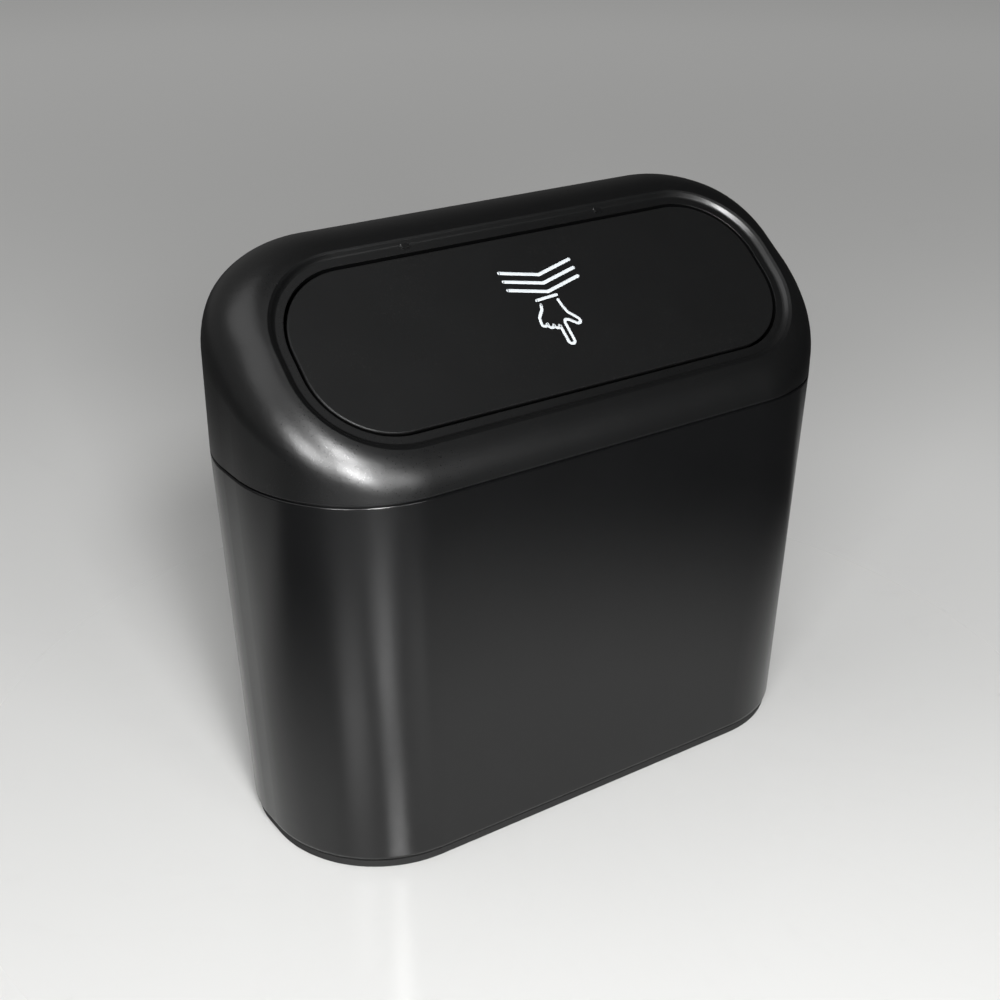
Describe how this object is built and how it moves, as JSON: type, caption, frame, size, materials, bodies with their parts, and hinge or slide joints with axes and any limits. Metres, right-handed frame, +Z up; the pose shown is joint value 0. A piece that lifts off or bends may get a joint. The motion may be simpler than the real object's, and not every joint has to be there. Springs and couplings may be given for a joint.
{
  "type": "car trash can",
  "caption": "Small oblong waste bin for a car: tapered bin, lift-off rolled cover with a sloping push-to-open hinged lid, and a slide-in hanging hook on the back.",
  "frame": {"origin": "middle of the underside of the sole, on the surface that the bin stands on", "axes": "+X along the bin's length, -Y out of the near face with the low edge of the lid, +Z up"},
  "size_m": [0.2, 0.1065, 0.1795],
  "materials": {
    "bin_black": "satin moulded black plastic",
    "cover_black": "fine spark-grained black plastic",
    "lid_black": "fine matt black plastic with a bright edge",
    "inner_black": "plain moulded black plastic",
    "sole_rubber": "matt soft rubber",
    "pad_rubber": "matt soft rubber",
    "steel": "bright zinc-plated steel",
    "spring_steel": "drawn spring wire",
    "magnet": "nickel-plated magnet"
  },
  "bodies": {
    "bin": {"body_shell": "bin_black", "sole_pad": "sole_rubber"},
    "cover": {"top_cover": "cover_black", "cover_frame": "inner_black", "frame_screws": "steel", "latch_housing": "inner_black", "latch_cap": "inner_black", "latch_screws": "steel", "latch_spring": "spring_steel", "torsion_spring_left": "spring_steel", "torsion_spring_right": "spring_steel"},
    "pins": {"hinge_pins": "steel"},
    "lid": {"lid_panel": "lid_black", "lid_liner": "inner_black", "lid_screws": "steel", "strike_plate": "steel", "strike_rivets": "steel"},
    "plunger": {"latch_plunger": "inner_black", "latch_magnet": "magnet"},
    "hook": {"hanging_hook": "inner_black", "hook_pad": "pad_rubber"}
  },
  "joints": [
    {"name": "cover_lift", "type": "slide", "parent": "bin", "child": "cover", "axis": [0, 0, 1], "range_m": [0, 0.06]},
    {"name": "lid_press", "type": "hinge", "parent": "cover", "child": "pins", "pos_m": [0, 0.01836, 0.17371], "axis": [-1, 0, 0], "range_deg": [-1.9, 0]},
    {"name": "lid_open", "type": "hinge", "parent": "pins", "child": "lid", "pos_m": [0, 0.01836, 0.17371], "axis": [-1, 0, 0], "range_deg": [0, 85], "deforming": ["torsion_spring_left", "torsion_spring_right"]},
    {"name": "plunger_press", "type": "slide", "parent": "cover", "child": "plunger", "axis": [0, -0.6347, 0.7727], "range_m": [-0.0018, 0], "stiffness_N_per_m": 120, "springref_m": 0.005, "deforming": ["latch_spring"]},
    {"name": "hook_slide", "type": "slide", "parent": "bin", "child": "hook", "axis": [0, 0, 1], "range_m": [0, 0.04]}
  ],
  "couplings": [
    {"joint": "lid_press", "follows": "plunger_press", "rad_per_m": 18.382}
  ]
}
